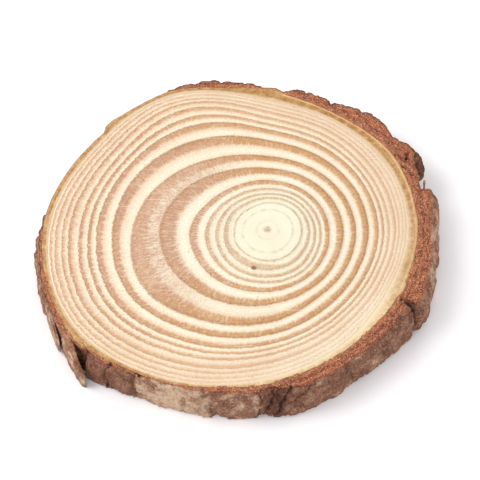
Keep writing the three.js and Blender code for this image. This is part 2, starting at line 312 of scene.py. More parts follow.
around, fast, (radius, year, late, dark, haze, width) = wood_face(WOOD_COLUMNS)
cream = 1 - smooth(np.abs(around - CREAM_SIDE), 0.4 * CREAM_HALF, CREAM_HALF)
cream = cream * smooth(year, *CREAM_YEARS)
# Hard late wood stands a little above soft early wood, and sanding leaves faint waves.
hard = smooth(year % 1, 1 - late, 0.97) * dark
base = about_pith(radius, around, 0.0)
waves = WAVE_HEIGHT * rough(base, (2.5, 2.5, 2.5), 21)
level = RING_STEP * (hard - 1) * smooth(radius, 1, 8) + waves
level -= EDGE_ROUNDING * smooth(radius, radius[-1] - EDGE_WIDTH, radius[-1])
upper = about_pith(radius, around, THICKNESS - FACE_INSET + np.minimum(level, FACE_INSET))
lower = about_pith(radius, around, FACE_INSET - np.minimum(level, FACE_INSET))[::-1]
wood = closed_skin(
    "sawn_wood",
    np.concatenate([upper, lower]),
    poles=[(*PITH, THICKNESS - FACE_INSET), (*PITH, FACE_INSET)],
    year=np.concatenate([year, year[::-1]]),
    late=np.concatenate([late, late[::-1]]),
    dark=np.concatenate([dark, dark[::-1]]),
    haze=np.concatenate([haze, haze[::-1]]),
    width=np.concatenate([width, width[::-1]]),
    cream=np.concatenate([cream, cream[::-1]]),
    fast=fast,
)


# Pine end grain, sawn and lightly sanded: ivory at the heart, cream to peach early wood, and golden
# tan late wood that turns pinkish brown on the fast-grown side. Matt, with fine radial rays.
def pine_end_grain():
    material, add = blank_material("pine_end_grain")
    place = add("TexCoord", output=3)
    centred = add("Mapping", place, (-PITH[0] * MM, -PITH[1] * MM, 0))
    flat = add("VectorMath", centred, (1, 1, 0), operation="MULTIPLY")
    out = add("VectorMath", flat, operation="LENGTH")
    way = add("VectorMath", flat, operation="NORMALIZE")
    # Rays: noise by direction, 0.016 radians wide, that changes over 1.6 mm outwards.
    spread = add("VectorMath", way, (0.05, 0.05, 0), operation="MULTIPLY")
    outwards = add("CombineXYZ", 0.0, 0.0, add("Math", out, 0.50, operation="MULTIPLY"))
    ray_place = add("VectorMath", spread, outwards, operation="ADD")
    rays = add("TexNoise", ray_place, 1 / (0.8 * MM), 4.0, 0.7)

    year, late, dark, haze, width, cream, fast = (
        add("Attribute", attribute_name=name, output=2)
        for name in ("year", "late", "dark", "haze", "width", "cream", "fast"))
    # A year's edge wavers by about 0.1 mm, and jags along the rays, more so on the fast-grown side.
    shake = add("Math", add("TexNoise", place, 1 / (0.7 * MM), 4.0, 0.7), 0.5, operation="SUBTRACT")
    ray_share = add("Math", fast, 0.75, 0.75, operation="MULTIPLY_ADD")
    ray_swing = add("Math", rays, 0.5, operation="SUBTRACT")
    ray_shake = add("Math", ray_swing, ray_share, operation="MULTIPLY")
    moved = add("Math", shake, 0.6, ray_shake, operation="MULTIPLY_ADD")
    shifted = add("Math", year, add("Math", moved, width, operation="DIVIDE"), operation="ADD")
    part = add("Math", shifted, operation="FRACT")
    # Late wood darkens softly at the start of its share of the year and stops sharply at its end,
    # where the saw has dragged a little of it over the next year's early wood.
    starts = add("Math", late, -1.10, 1.0, operation="MULTIPLY_ADD")
    full = add("Math", late, -0.66, 1.0, operation="MULTIPLY_ADD")
    rise = add("MapRange", part, starts, full, 0.0, 1.0, interpolation_type="SMOOTHSTEP")
    stop = add("MapRange", part, 0.94, 1.0, 1.0, 0.30)
    dragged = add("MapRange", part, 0.0, 0.20, 0.30, 0.0)
    band = add("Math", rise, stop, dragged, operation="MULTIPLY_ADD")
    band = add("Math", add("Math", band, dark, operation="MULTIPLY"), haze, operation="MAXIMUM")
    # It is uneven: clouds of 4 mm, open cells of 0.5 mm and streaks along the rays.
    uneven = add("MapRange", add("TexNoise", place, 1 / (4 * MM), 3.0), 0.35, 0.65, 0.82, 1.12)
    cells = add("MapRange", add("TexNoise", place, 1 / (0.5 * MM), 3.0, 0.75), 0.36, 0.66, 0.74, 1.20)
    streaks = add("MapRange", rays, 0.36, 0.64, 0.34, 1.56)
    band = add("Math", add("Math", band, cells, operation="MULTIPLY"), streaks, operation="MULTIPLY")
    # In the heart the rings are faint grey-green dashes.
    heart = add("MapRange", year, 2.0, 3.2, 1.0, 0.0)
    dashes = add("MapRange", add("TexNoise", place, 1 / (1.3 * MM), 3.0, 0.6), 0.44, 0.60, -1.0, 0.9)
    dashed = add("Math", heart, dashes, 1.0, operation="MULTIPLY_ADD")
    band = add("Math", band, dashed, operation="MULTIPLY")
    band = add("Math", band, uneven, operation="MULTIPLY", use_clamp=True)

    age = add("Math", year, 1 / len(YEARS), operation="MULTIPLY")
    early = add("ValToRGB", age)
    ramp = early.node.color_ramp
    # A new ramp already has its stops at 0 and 1.
    stops = (
        (0.0, "#E6E3C9"), (1.0, "#EAD8AE"), (0.22, "#E9E6CC"), (0.40, "#F2ECD4"),
        (0.52, "#F2EBD1"), (0.62, "#F1E8CD"), (0.86, "#EEE1C5"), (0.96, "#ECDEBF"),
    )
    for at, colour in stops[2:]:
        ramp.elements.new(at)
    for element, (at, colour) in zip(ramp.elements, sorted(stops)):
        element.position = at
        element.color = linear(colour)
    # Within a year the wood warms from cream to peach, and more so in the outer years, but the last
    # few are paler again, apart from the fast-grown side.
    slow = add("Math", 1.0, fast, operation="SUBTRACT")
    paler = add("Math", add("MapRange", year, 14.0, 16.5, 0.0, 0.50), slow, operation="MULTIPLY")
    kept = add("Math", 1.0, paler, operation="SUBTRACT")
    warms = add("Math", add("MapRange", year, 2.5, 10.0, 0.0, 0.92), kept, operation="MULTIPLY")
    # The outermost years of the slow side are warm from their start, so they look more even. Where
    # the last years are cream, little of that warmth is left.
    even = add("Math", add("MapRange", year, 11.0, 14.0, 0.0, 0.30), slow, operation="MULTIPLY")
    warmth = add("MapRange", part, 0.20, 0.74, even, warms, interpolation_type="SMOOTHSTEP")
    warmth = add("Math", warmth, add("MapRange", cream, 0.0, 1.0, 1.0, 0.25), operation="MULTIPLY")
    early = add("Mix", warmth, early, linear("#DAB894"), data_type="RGBA")
    late_colour = add("Mix", fast, linear("#C4904F"), linear("#BB9375"), data_type="RGBA")
    # Its hue wanders: rosy flecks of 1 mm, and olive ones of 1.5 mm that are fainter on the
    # fast-grown side.
    rosy = add("MapRange", add("TexNoise", place, 1 / (1.0 * MM), 4.0, 0.75), 0.44, 0.62, 0.0, 0.60)
    late_colour = add("Mix", rosy, late_colour, linear("#C1836A"), data_type="RGBA")
    olive_patch = add("TexNoise", centred, 1 / (1.5 * MM), 4.0, 0.7)
    olive_share = add("Math", fast, -0.45, 0.60, operation="MULTIPLY_ADD")
    olive = add("MapRange", olive_patch, 0.49, 0.62, 0.0, olive_share)
    late_colour = add("Mix", olive, late_colour, linear("#B0965C"), data_type="RGBA")
    late_colour = add("Mix", heart, late_colour, linear("#A5A081"), data_type="RGBA")
    colour = add("Mix", band, early, late_colour, data_type="RGBA")
    # The last cells of a year are the densest: a thin olive-brown line, broken by the open cells.
    densest = add("MapRange", part, 0.80, 0.93, 0.0, 1.0, interpolation_type="SMOOTHSTEP")
    broken = add("MapRange", cells, 0.7, 1.2, 0.12, 0.72)
    edge_line = add("Math", densest, broken, operation="MULTIPLY")
    edge_line = add("Math", edge_line, dark, operation="MULTIPLY")
    edge_line = add("Math", edge_line, stop, operation="MULTIPLY")
    colour = add("Mix", edge_line, colour, linear("#96724A"), data_type="RGBA")
    # Broad clouds of warmer wood, a fine dark grit of open cells, pale rays and sanding scratches.
    clouds = add("MapRange", add("TexNoise", place, 1 / (9 * MM), 2.0), 0.35, 0.70, 0.0, 0.16)
    colour = add("Mix", clouds, colour, linear("#DEC1A3"), data_type="RGBA", blend_type="MULTIPLY")
    grit_share = add("MapRange", year, 1.5, 4.0, 0.10, 0.40)
    open_cells = add("TexNoise", place, 1 / (0.24 * MM), 2.0, 0.7)
    grit = add("MapRange", open_cells, 0.32, 0.56, grit_share, 0.0)
    colour = add("Mix", grit, colour, linear("#B0805A"), data_type="RGBA", blend_type="MULTIPLY")
    ray_light = add("MapRange", rays, 0.54, 0.72, 0.0, 0.30)
    colour = add("Mix", ray_light, colour, linear("#EADFC9"), data_type="RGBA")
    along_scratch = add("Mapping", place, (0, 0, 0), (0, 0, SCRATCH_TURN), (0.035, 1, 1))
    sanding = add("TexNoise", along_scratch, 1 / (0.42 * MM), 2.0, 0.6)
    scratch = add("MapRange", sanding, 0.60, 0.72, 0.0, 0.26)
    colour = add("Mix", scratch, colour, linear("#EFE4CE"), data_type="RGBA")
    # Resin canals: dots of about 0.3 mm, each in a cell of 3 mm.
    dots = add("MapRange", add("TexVoronoi", place, 1 / (3.1 * MM)), 0.035, 0.075, 0.5, 0.0)
    colour = add("Mix", dots, colour, linear("#8D654A"), data_type="RGBA")
    # The pith: a brown spot of about 1.5 mm, crumbly at its edge.
    crumbs = add("Math", add("TexNoise", place, 1 / (0.5 * MM), 3.0), 0.5, operation="SUBTRACT")
    ragged = add("Math", crumbs, 0.0018, out, operation="MULTIPLY_ADD")
    spot = add("MapRange", ragged, 0.0003, 0.0012, 0.60, 0.0, interpolation_type="SMOOTHSTEP")
    colour = add("Mix", spot, colour, linear("#96704E"), data_type="RGBA")

    # A resin pocket: a dark fleck of about 1 mm in the fourth year.
    from_pocket = add("VectorMath", place, tuple(RESIN_POCKET * MM), operation="SUBTRACT")
    squeezed = add("VectorMath", from_pocket, (1.4, 1.6, 0), operation="MULTIPLY")
    pocket_out = add("VectorMath", squeezed, operation="LENGTH")
    pocket_far = add("Math", crumbs, 0.0010, pocket_out, operation="MULTIPLY_ADD")
    pocket = add("MapRange", pocket_far, 0.0004, 0.0012, 0.85, 0.0, interpolation_type="SMOOTHSTEP")
    colour = add("Mix", pocket, colour, linear("#7E4A3C"), data_type="RGBA")

    fine = add("TexNoise", place, 1 / (0.3 * MM), 3.0, 0.6)
    heights = add("Math", rays, 0.4, fine, operation="MULTIPLY_ADD")
    bump = add("Bump", 0.35, 0.00006, 0.1, heights)
    add("OutputMaterial", add("BsdfPrincipled", colour, 0.0, 0.78, 1.5, 1.0, bump))
    return material


wood.data.materials.append(pine_end_grain())
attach(wood, "root")
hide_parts("wood_slice")


# Inner bark
# The soft ochre layer that grew between the wood and the outer bark. It is fibrous and has dried a
# little below the sawn faces, and it lies bare on the back and left, where the outer bark has gone.
INNER_COLUMNS = 960
INNER_FLAT_ROWS = 10
INNER_WALL_ROWS = 22
# In millimetres: how far it has dried in below the faces, how far it reaches under the wood, how
# deep its hidden side lies, how far it bulges where it is bare, how proud its fibres are, how far its
# edges are rounded off, how far it draws in behind the outer bark, and the least that a rough sawn
# edge lies below the faces.
DRIED_IN = 0.10
UNDER_WOOD = 0.3
HIDDEN_DEPTH = 0.6
BULGE = 0.45
FIBRE_HEIGHT = 0.16
INNER_ROUNDING = 0.25
DRAWN_IN = 2.2
LEAST_SUNK = 0.03
# The inner bark's outer edge at the upper face, as (degrees, radius).
INNER_EDGE = (
    (-180, 50.9), (-165, 51.2), (-155, 51.3), (-150, 51.5), (-145, 51.5), (-142.6, 51.2),
    (-141.6, 50.3), (-139.5, 49.8), (-137, 49.4), (-135, 48.8), (-133, 48.1), (-131, 47.6),
    (-128, 47.1), (-125, 46.6), (-120, 45.8), (-110, 43.4), (-102, 41.7), (-96, 41.0), (-90, 40.1),
    (-84, 38.9), (-78, 37.8), (-72, 36.95), (-66, 36.35), (-60, 35.55), (-54, 34.9), (-48, 34.4),
    (-42, 34.35), (-36, 34.0), (-33, 33.9), (-30, 34.3), (-27, 34.35), (-24, 33.85), (-12, 33.8),
    (-6, 34.0), (0, 34.3), (8, 34.45), (14, 34.7), (20, 35.05), (26, 35.4), (32, 36.05), (38, 36.4),
    (44, 36.5), (53, 36.6), (62, 36.9), (68, 37.3), (74, 38.0), (80, 38.8), (83, 39.4), (87, 40.9),
    (91, 40.9), (95, 41.2), (104, 42.1), (110, 43.5), (116, 45.2), (120, 46.0), (130, 46.6),
    (135, 47.0), (140, 47.8), (142, 47.7), (144, 46.9), (150, 47.5), (155, 48.1), (165, 49.3),
    (170, 50.0), (176, 50.6),
)

# Where the outer bark has gone, as (from, to) in degrees.
LOST = ((83.8, 91.2), (120.5, 175.5))
# How clear the light line is near its outer edge, and how pale it is, both by degrees.
SEAM = ((-180, 0.0), (-60, 0.0), (-30, 0.5), (10, 0.6), (20, 1.0), (84, 1.0), (88, 0.3), (92, 0.0))
PALE = (
    (-180, 0.20), (-150, 0.15), (-130, 0.05), (-110, 0.45), (-90, 0.75), (-60, 0.9), (-42, 1.0),
    (-30, 0.62), (-15, 0.36), (10, 0.28), (25, 0.12), (50, 0.0), (84, 0.0), (95, 0.05), (110, 0.1),
    (140, 0.2),
)


def round_table(table, degrees):
    """Straight lines between (degrees, value) pairs that go once round."""
    angles, values = zip(*table)
    return np.interp(degrees, angles, values, period=360)


def lost_bark(degrees, height):
    """1 where the outer bark has gone and 0 elsewhere, by smooth steps half a degree wide. Noise
    shifts the steps, so that the bark ends raggedly."""
    points = about_pith(45, degrees, height)
    ragged = degrees + 0.5 * grain(points, (1, 1, 1), 61)
    lower = smooth(THICKNESS - height, 0.3, 2.0)
    ragged = ragged + 2.2 * lower * rough(points, (6, 6, 2.6), 62)
    starts = (smooth(ragged, low - 0.25, low + 0.25) for low, _ in LOST)
    ends = (smooth(-ragged, -high - 0.25, -high + 0.25) for _, high in LOST)
    return sum(start * end for start, end in zip(starts, ends))


inner_around = np.linspace(-180, 180, INNER_COLUMNS, endpoint=False)
wood_edge = grown(GROWTH["bark"], inner_around)
bark_edge = round_table(INNER_EDGE, inner_around)
covered = 1 - lost_bark(inner_around, THICKNESS)
across = np.linspace(0, 1, INNER_FLAT_ROWS)[:, None]
down = np.linspace(0.03, 0.97, INNER_WALL_ROWS)[:, None]
flat_radius = wood_edge - UNDER_WOOD + across * (bark_edge - wood_edge + UNDER_WOOD)
flat_base = about_pith(flat_radius, inner_around, 0.0)
sunk = DRIED_IN + 0.06 * rough(flat_base, (1.2, 1.2, 1.2), 31) + DRIED_IN * smooth(across, 0.8, 1.0)
wall_base = about_pith(bark_edge, inner_around, THICKNESS * (1 - down))
fibres = rough(wall_base, (1.1, 1.1, 5.0), 33)
bulge = BULGE * np.sin(np.pi * down) + 0.25 * grain(wall_base, (7, 7, 5), 35)
wall_radius = bark_edge + FIBRE_HEIGHT * fibres + bulge
wall_radius -= INNER_ROUNDING * smooth(np.abs(down - 0.5), 0.42, 0.5)
wall_radius -= DRAWN_IN * covered * np.sin(np.pi * down) ** 0.5
flat_height = THICKNESS - np.maximum(sunk, LEAST_SUNK)
inside = np.array((0.15, 0.85))[:, None]
inner_rows = [
    about_pith(flat_radius, inner_around, flat_height),
    about_pith(wall_radius, inner_around, THICKNESS * (1 - down)),
    about_pith(flat_radius[::-1], inner_around, THICKNESS - flat_height[::-1]),
    about_pith(wood_edge - HIDDEN_DEPTH, inner_around, THICKNESS * inside),
]
inner_bark = closed_skin(
    "inner_bark",
    np.concatenate(inner_rows),
    across=np.concatenate([across, np.ones_like(down), across[::-1], 0 * inside]) + 0 * inner_around,
    bare=np.concatenate([0 * across, np.ones_like(down), 0 * across, 0 * inside]) + 0 * inner_around,
    seam=round_table(SEAM, inner_around),
    pale=round_table(PALE, inner_around),
)


# Dry inner bark: golden ochre and fibrous, darker in its pores, straw-pale at the front right, with a
# light line near the outer bark. Where it lies bare, weather has browned it and its fibres run down.
def dry_inner_bark():
    material, add = blank_material("dry_inner_bark")
    place = add("TexCoord", output=3)
    across, bare, seam, pale = (
        add("Attribute", attribute_name=name, output=2) for name in ("across", "bare", "seam", "pale"))
    patches = add("MapRange", add("TexNoise", place, 1 / (1.4 * MM), 4.0, 0.6), 0.33, 0.67, 0.0, 1.0)
    golden = add("Mix", patches, linear("#A8713A"), linear("#D6AC6C"), data_type="RGBA")
    straw = add("Mix", patches, linear("#D3B27E"), linear("#ECD8B2"), data_type="RGBA")
    colour = add("Mix", pale, golden, straw, data_type="RGBA")
    crumb_share = add("Math", pale, -0.42, 0.65, operation="MULTIPLY_ADD")
    pores = add("TexNoise", place, 1 / (0.32 * MM), 3.0, 0.7)
    crumbs = add("MapRange", pores, 0.36, 0.60, crumb_share, 0.0)
    colour = add("Mix", crumbs, colour, linear("#8A5A33"), data_type="RGBA")
    # It passes softly into the wood, more so where it is pale.
    reach = add("Math", pale, 0.50, 0.26, operation="MULTIPLY_ADD")
    wood_share = add("Math", pale, 0.25, 0.65, operation="MULTIPLY_ADD")
    by_wood = add("MapRange", across, 0.05, reach, wood_share, 0.0)
    colour = add("Mix", by_wood, colour, linear("#E9D7B5"), data_type="RGBA")
    outer_edge = add("MapRange", across, 0.80, 1.0, 0.0, 0.45, interpolation_type="SMOOTHSTEP")
    colour = add("Mix", outer_edge, colour, linear("#9A5F38"), data_type="RGBA")
    line_in = add("MapRange", across, 0.64, 0.72, 0.0, 0.6, interpolation_type="SMOOTHSTEP")
    line_out = add("MapRange", across, 0.78, 0.88, 1.0, 0.0, interpolation_type="SMOOTHSTEP")
    line = add("Math", add("Math", line_in, line_out, operation="MULTIPLY"), seam, operation="MULTIPLY")
    colour = add("Mix", line, colour, linear("#EBC79A"), data_type="RGBA")
    long_fibres = add("Mapping", place, (0, 0, 0), (0, 0, 0), (1, 1, 0.16))
    fibre = add("TexNoise", long_fibres, 1 / (0.35 * MM), 4.0, 0.65)
    weathered = add("Mix", add("MapRange", fibre, 0.34, 0.66, 0.0, 1.0), linear("#7B5038"),
                    linear("#B48A63"), data_type="RGBA")
    blotches = add("MapRange", add("TexNoise", place, 1 / (4.5 * MM), 5.0, 0.7), 0.44, 0.60, 0.0, 0.75)
    weathered = add("Mix", blotches, weathered, linear("#70442F"), data_type="RGBA")
    colour = add("Mix", bare, colour, weathered, data_type="RGBA")
    heights = add("Math", fibre, crumbs, operation="SUBTRACT")
    bump = add("Bump", 0.6, 0.00015, 0.1, heights)
    add("OutputMaterial", add("BsdfPrincipled", colour, 0.0, 0.85, 1.5, 1.0, bump))
    return material


inner_bark.data.materials.append(dry_inner_bark())
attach(inner_bark, "root")
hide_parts("wood_slice")


# Outer bark
# The branch's corky skin, still grown on to the inner bark. It has split into plates and scales as
# the branch thickened, and it is missing in two places, at the back and along the left.
BARK_COLUMNS = 1200
BARK_FLAT_ROWS = 18
BARK_WALL_ROWS = 38
# In millimetres: how ragged the rim is, how thick the bark is there at least before and after it is
# made rugged, how far it reaches over the inner bark, how far its sawn edge is sunk and crumbles, and
# how deep inside the inner bark and below the faces it lies where it has gone.
RIM_RAGGED = 0.16
RIM_LEAST = 0.25
EDGE_LEAST = 0.15
OVERLAP = 0.35
CORK_SUNK = 0.16
CORK_CRUMBS = 0.10
GONE_DEPTH = 0.8
GONE_SINK = 0.5
# The rim of the outer bark at the upper face, as (degrees, radius).
BARK_RIM = (
    (-180, 51.6), (-170, 52.0), (-165, 52.2), (-156, 52.7), (-152, 52.5), (-149, 52.1),
    (-147, 51.9), (-144.5, 51.75), (-143, 51.5), (-142, 51.1), (-141, 50.7), (-139.5, 50.4),
    (-137, 50.1), (-135, 49.9), (-134, 49.6), (-133.2, 49.2), (-131, 48.8), (-129, 48.1),
    (-127.5, 47.6), (-126.5, 47.4), (-125, 46.9), (-120, 46.2), (-115, 45.1), (-110, 44.5), (-105, 43.7),
    (-100, 43.3), (-95, 42.7), (-92.5, 42.2), (-90.5, 41.3), (-88, 41.9), (-85, 42.1), (-80, 41.4),
    (-75, 40.7), (-70, 39.9), (-65, 39.1), (-60, 38.4), (-55, 38.0), (-50, 37.6), (-45, 37.4),
    (-40, 37.1), (-35, 37.4), (-33, 37.5), (-31.4, 38.4), (-30, 38.9), (-27, 38.8), (-22, 38.4),
    (-15, 37.9), (-5, 37.6), (0, 37.4), (5, 37.8), (10, 38.4), (15, 39.1), (17.0, 39.2), (17.6, 37.3),
    (20, 37.2), (22, 37.7), (23.3, 38.0), (26, 38.5), (29, 39.0), (31, 39.6), (32.5, 41.0), (34, 41.2),
    (36, 41.0), (37.6, 40.4), (39, 40.1), (44, 40.2), (45.6, 40.5), (48, 41.0), (52, 41.0), (60, 40.6),
    (63, 40.3), (67, 39.6), (70, 40.1), (75, 40.9), (79, 41.1), (81, 40.8), (82.5, 40.2), (84, 39.8),
    (91, 41.2), (92, 41.6), (94, 42.3), (100, 43.2), (106, 44.8), (110, 45.6), (115, 46.0), (118, 46.1),
    (121, 45.9), (175, 50.7),
)
# How much further the wall stands out low down than at the rim, as (degrees, millimetres), and how
# that grows from the upper face down, as (share of the way down, share of the flare).
FLARE = (
    (-180, 1.2), (-170, 0.3), (-158, 0), (-150, 0), (-144, -0.1), (-141.6, -0.1), (-140.3, 1.8),
    (-137, 1.6), (-134.4, 0.8), (-131.6, 0.6), (-130, 0.3), (-126, 0.5), (-118, 0), (-108, 0.5),
    (-100, 0.4), (-94, 0.5), (-89, 2.0), (-84, 1.1), (-72, 0.6), (-60, 0.9), (-48, 1.4), (-37, 2.0),
    (-33, 1.8), (-30, 1.2), (-22, 0.9), (-8, 1.2), (8, 1.7), (16.8, 1.6), (17.8, 0.1), (30, 0.1),
    (34, 0.6), (90, 0.5), (150, 0.5),
)
FLARE_DOWN = ((0, 0), (0.06, 0.15), (0.22, 0.5), (0.42, 0.85), (0.64, 1), (0.86, 1), (1, 0.8))
# Fissures: degrees at the upper face and at the foot, half width in degrees, depth in millimetres. The
# depth also sets how much painted shade darkens a fissure.
FISSURES = (
    (-163, -166, 0.9, 0.5), (-143.0, -142.6, 2.1, 1.1), (-137.3, -137.3, 3.0, 0.3),
    (-134.2, -134.6, 0.6, 0.9), (-127.0, -128.0, 0.8, 0.35), (-109.2, -105.2, 0.7, 0.35),
    (-92.2, -93.4, 0.45, 0.5), (-87.6, -92.0, 0.5, 1.1), (-86.4, -90.2, 0.35, 0.6),
    (-83.4, -88.6, 0.7, 1.1), (-76.0, -92.0, 0.7, 0.7), (-86.5, -89.5, 5.0, 0.35),
    (-64.6, -61.0, 0.5, 0.35), (-50.5, -47.0, 0.5, 0.3), (-32.6, -34.2, 1.0, 1.8),
    (-12.5, -9.0, 0.9, 0.6), (3.5, 5.0, 0.8, 0.4),
    (18.8, 19.2, 1.0, 0.3), (41.5, 43.0, 1.4, 0.3), (57, 55, 1.0, 0.5), (66.8, 66.0, 1.4, 0.5),
    (76, 78, 1.0, 0.5), (97, 98, 0.9, 0.5), (104.5, 103.0, 1.0, 0.6), (112, 114, 1.0, 0.5),
    (178, 179, 0.9, 0.5),
)
# Scales that stand proud: degrees from and to, how far they lean from top to foot, shares of the
# way down from and to, and how proud they are.
SCALES = (
    (-176, -161, 0, 0.20, 1.1, 0.55), (-133.4, -127.8, 0, 0.06, 0.95, 0.30),
    (-131.0, -128.4, 0, 0.35, 1.1, 0.25), (-126.4, -107.6, 3.2, 0.02, 1.1, 0.55),
    (-123.0, -113.0, 4.0, 0.45, 1.1, 0.20), (-101.6, -92.8, -1.0, 0.12, 1.1, 0.50),
    (-105.5, -101.6, 2.0, 0.5, 1.1, 0.2), (-79.5, -63.5, -4.0, 0.22, 1.1, 0.35),
    (-83.0, -79.5, -3.0, 0.60, 1.1, 0.40), (-61.5, -52.0, 4.0, 0.30, 0.90, 0.20),
    (-46.5, -34.5, 3.0, 0.15, 1.1, 0.25), (-29.5, -13.5, 2.0, 0.12, 1.1, 0.35),
    (-7.5, 2.5, 2.0, 0.25, 1.1, 0.30), (6.0, 16.5, 1.0, 0.15, 0.95, 0.25), (44, 55, 2, 0.15, 0.9, 0.4),
    (58, 66, -2, 0.3, 1.1, 0.4), (69, 75, 1, 0.1, 0.85, 0.3), (93, 97, 1, 0.2, 1.1, 0.3),
    (99, 104, -1, 0.1, 0.9, 0.3), (107, 112, 1, 0.3, 1.1, 0.3),
)
# Pits in the bark's sawn edge: degrees, radius, size round and across, and depth, in millimetres. The
# depth also sets how much painted shade darkens a pit.
PITS = (
    (31.3, 37.6, 0.26, 0.35, 0.9), (32.1, 38.2, 0.34, 0.42, 1.3), (33.2, 38.9, 0.26, 0.35, 0.9),
    (35.3, 36.4, 0.35, 0.30, 0.8), (28.4, 36.4, 0.5, 0.25, 0.6), (33.0, 36.9, 1.2, 0.20, 0.6),
    (29.5, 36.1, 0.35, 0.22, 0.9), (-31.9, 34.8, 0.7, 0.30, 0.8), (-31.5, 36.1, 0.28, 1.2, 0.7),
    (-31.6, 37.6, 0.6, 0.8, 1.0), (-89.4, 40.9, 0.5, 0.6, 0.9), (-87.5, 41.5, 1.2, 0.45, 0.9),
    (-80.5, 41.1, 0.9, 0.30, 0.7), (-142.9, 51.6, 0.9, 0.35, 1.3), (17.0, 36.8, 0.4, 0.4, 0.6),
    (66.8, 39.3, 0.7, 0.4, 0.6), (-126.8, 46.9, 0.8, 0.5, 0.9), (-134.2, 49.4, 0.5, 0.5, 1.0),
)
# How rugged the wall is, from smooth plates at 0.3 to torn bark at 1, and how grey the weather has
# made it, from red-brown at 0 to pale grey at 1, both by degrees.
RUGGED = (
    (-180, 0.8), (-150, 0.7), (-140, 0.5), (-134, 0.8), (-126, 1.0), (-108, 1.0), (-104, 0.7),
    (-99, 0.4), (-93, 0.6), (-90, 1.5), (-84, 1.4), (-79, 0.5), (-66, 0.4), (-58, 0.7), (-40, 0.6),
    (-33, 0.9), (-25, 0.5), (15, 0.6), (40, 0.9), (110, 0.9),
)
GREY = (
    (-180, 0.35), (-168, 0.55), (-152, 0.50), (-141, 0.22), (-135, 0.20), (-132, 0.28), (-128, 0.38),
    (-126, 0.86), (-112, 1.00), (-107.6, 0.92), (-106.4, 0.48), (-100.6, 0.46), (-99.4, 0.56),
    (-93, 0.50), (-91, 0.27), (-84, 0.24), (-78, 0.44), (-62, 0.46), (-48, 0.46), (-36, 0.46),
    (-33, 0.35), (-28, 0.50), (-15, 0.70), (5, 0.72), (16, 0.58), (40, 0.45), (110, 0.45), (170, 0.4),
)


def wrapped(degrees):
    """Degrees brought to the turn from -180 to 180."""
    return (degrees + 180) % 360 - 180


def fissure_share(degrees, down, points):
    """How deep the fissures are, in millimetres: each is a groove of depth * (1 - s), where s rises
    from its line, which leans and wavers, to its half width."""
    waver = 1.1 * rough(points, (3, 3, 2.4), 41)
    total = np.zeros(points.shape[:-1])
    for top, foot, half, depth in FISSURES:
        away = np.abs(wrapped(degrees + waver - (top + (foot - top) * down)))
        total = np.maximum(total, depth * (1 - smooth(away, 0.15 * half, half)))
    return total


def scale_height(degrees, down, points):
    """How proud the scales stand, in millimetres: each is a plateau with steep edges, and noise
    shifts the edges so that they look broken."""
    side = degrees + 0.8 * rough(points, (1.6, 1.6, 1.6), 43)
    drop = down + 0.07 * rough(points, (1.8, 1.8, 1.8), 45)
    total = np.zeros(points.shape[:-1])
    for start, end, lean, upper, lower, proud in SCALES:
        leaned = side - lean * (down - 0.5)
        across = smooth(wrapped(leaned - start), 0, 0.5) * smooth(wrapped(end - leaned), 0, 0.5)
        total += proud * across * smooth(drop, upper, upper + 0.06) * smooth(-drop, -lower, 0.06 - lower)
    return total


def layered(points, size, steps, seed):
    """Layers of flaking bark from 0 to 1: noise cut into steps, each flat and then steep."""
    height = steps * (0.5 + 0.5 * rough(points, size, seed, 2))
    level = np.floor(height)
    return np.clip((level + smooth(height - level, 0.78, 1.0)) / steps, 0, 1)


def bark_wall(degrees, down, radius):
    """The bark's outer wall: its radius, and how much painted shade darkens it from 0 to 1, at each
    angle and share of the way down. Layers, fibres and grit are added to the radius, and fissures
    taken from it. The painted shade lies in the fissures and on the lower layers, less on proud scales."""
    points = about_pith(radius, degrees, THICKNESS * (1 - down))
    rugged = round_table(RUGGED, degrees)
    layers = layered(points, (3.4, 3.4, 3.0), 4, 51)
    fibres = rough(points, (0.7, 0.7, 3.0), 53)
    grit = grain(points, (0.34, 0.34, 0.34), 57)
    torn = fissure_share(degrees, down, points)
    proud = scale_height(degrees, down, points)
    relief = rugged * (0.70 * (layers - 0.6) + 0.17 * fibres + 0.05 * grit) + proud - torn
    # Painted shade: darker in the fissures and on the lower layers, lighter on proud scales.
    hollow = np.clip(0.75 * torn + rugged * (0.42 - layers) * 0.9 - 0.5 * proud, 0, 1)
    return radius + relief, hollow


bark_around = np.linspace(-180, 180, BARK_COLUMNS, endpoint=False)
inner_at = round_table(INNER_EDGE, bark_around)
rim_points = about_pith(round_table(BARK_RIM, bark_around), bark_around, 0.0)
rim = round_table(BARK_RIM, bark_around) + RIM_RAGGED * rough(rim_points, (1.3, 1.3, 1.3), 63)
rim = np.maximum(rim, inner_at + RIM_LEAST)
share = np.linspace(0, 1, BARK_FLAT_ROWS)[:, None]
evenly = np.linspace(0.055, 0.945, BARK_WALL_ROWS)
drop = np.concatenate([(0.008, 0.03), evenly, (0.97, 0.992)])[:, None]
flare = round_table(FLARE, bark_around)
flare_down = np.interp(drop, *zip(*FLARE_DOWN))


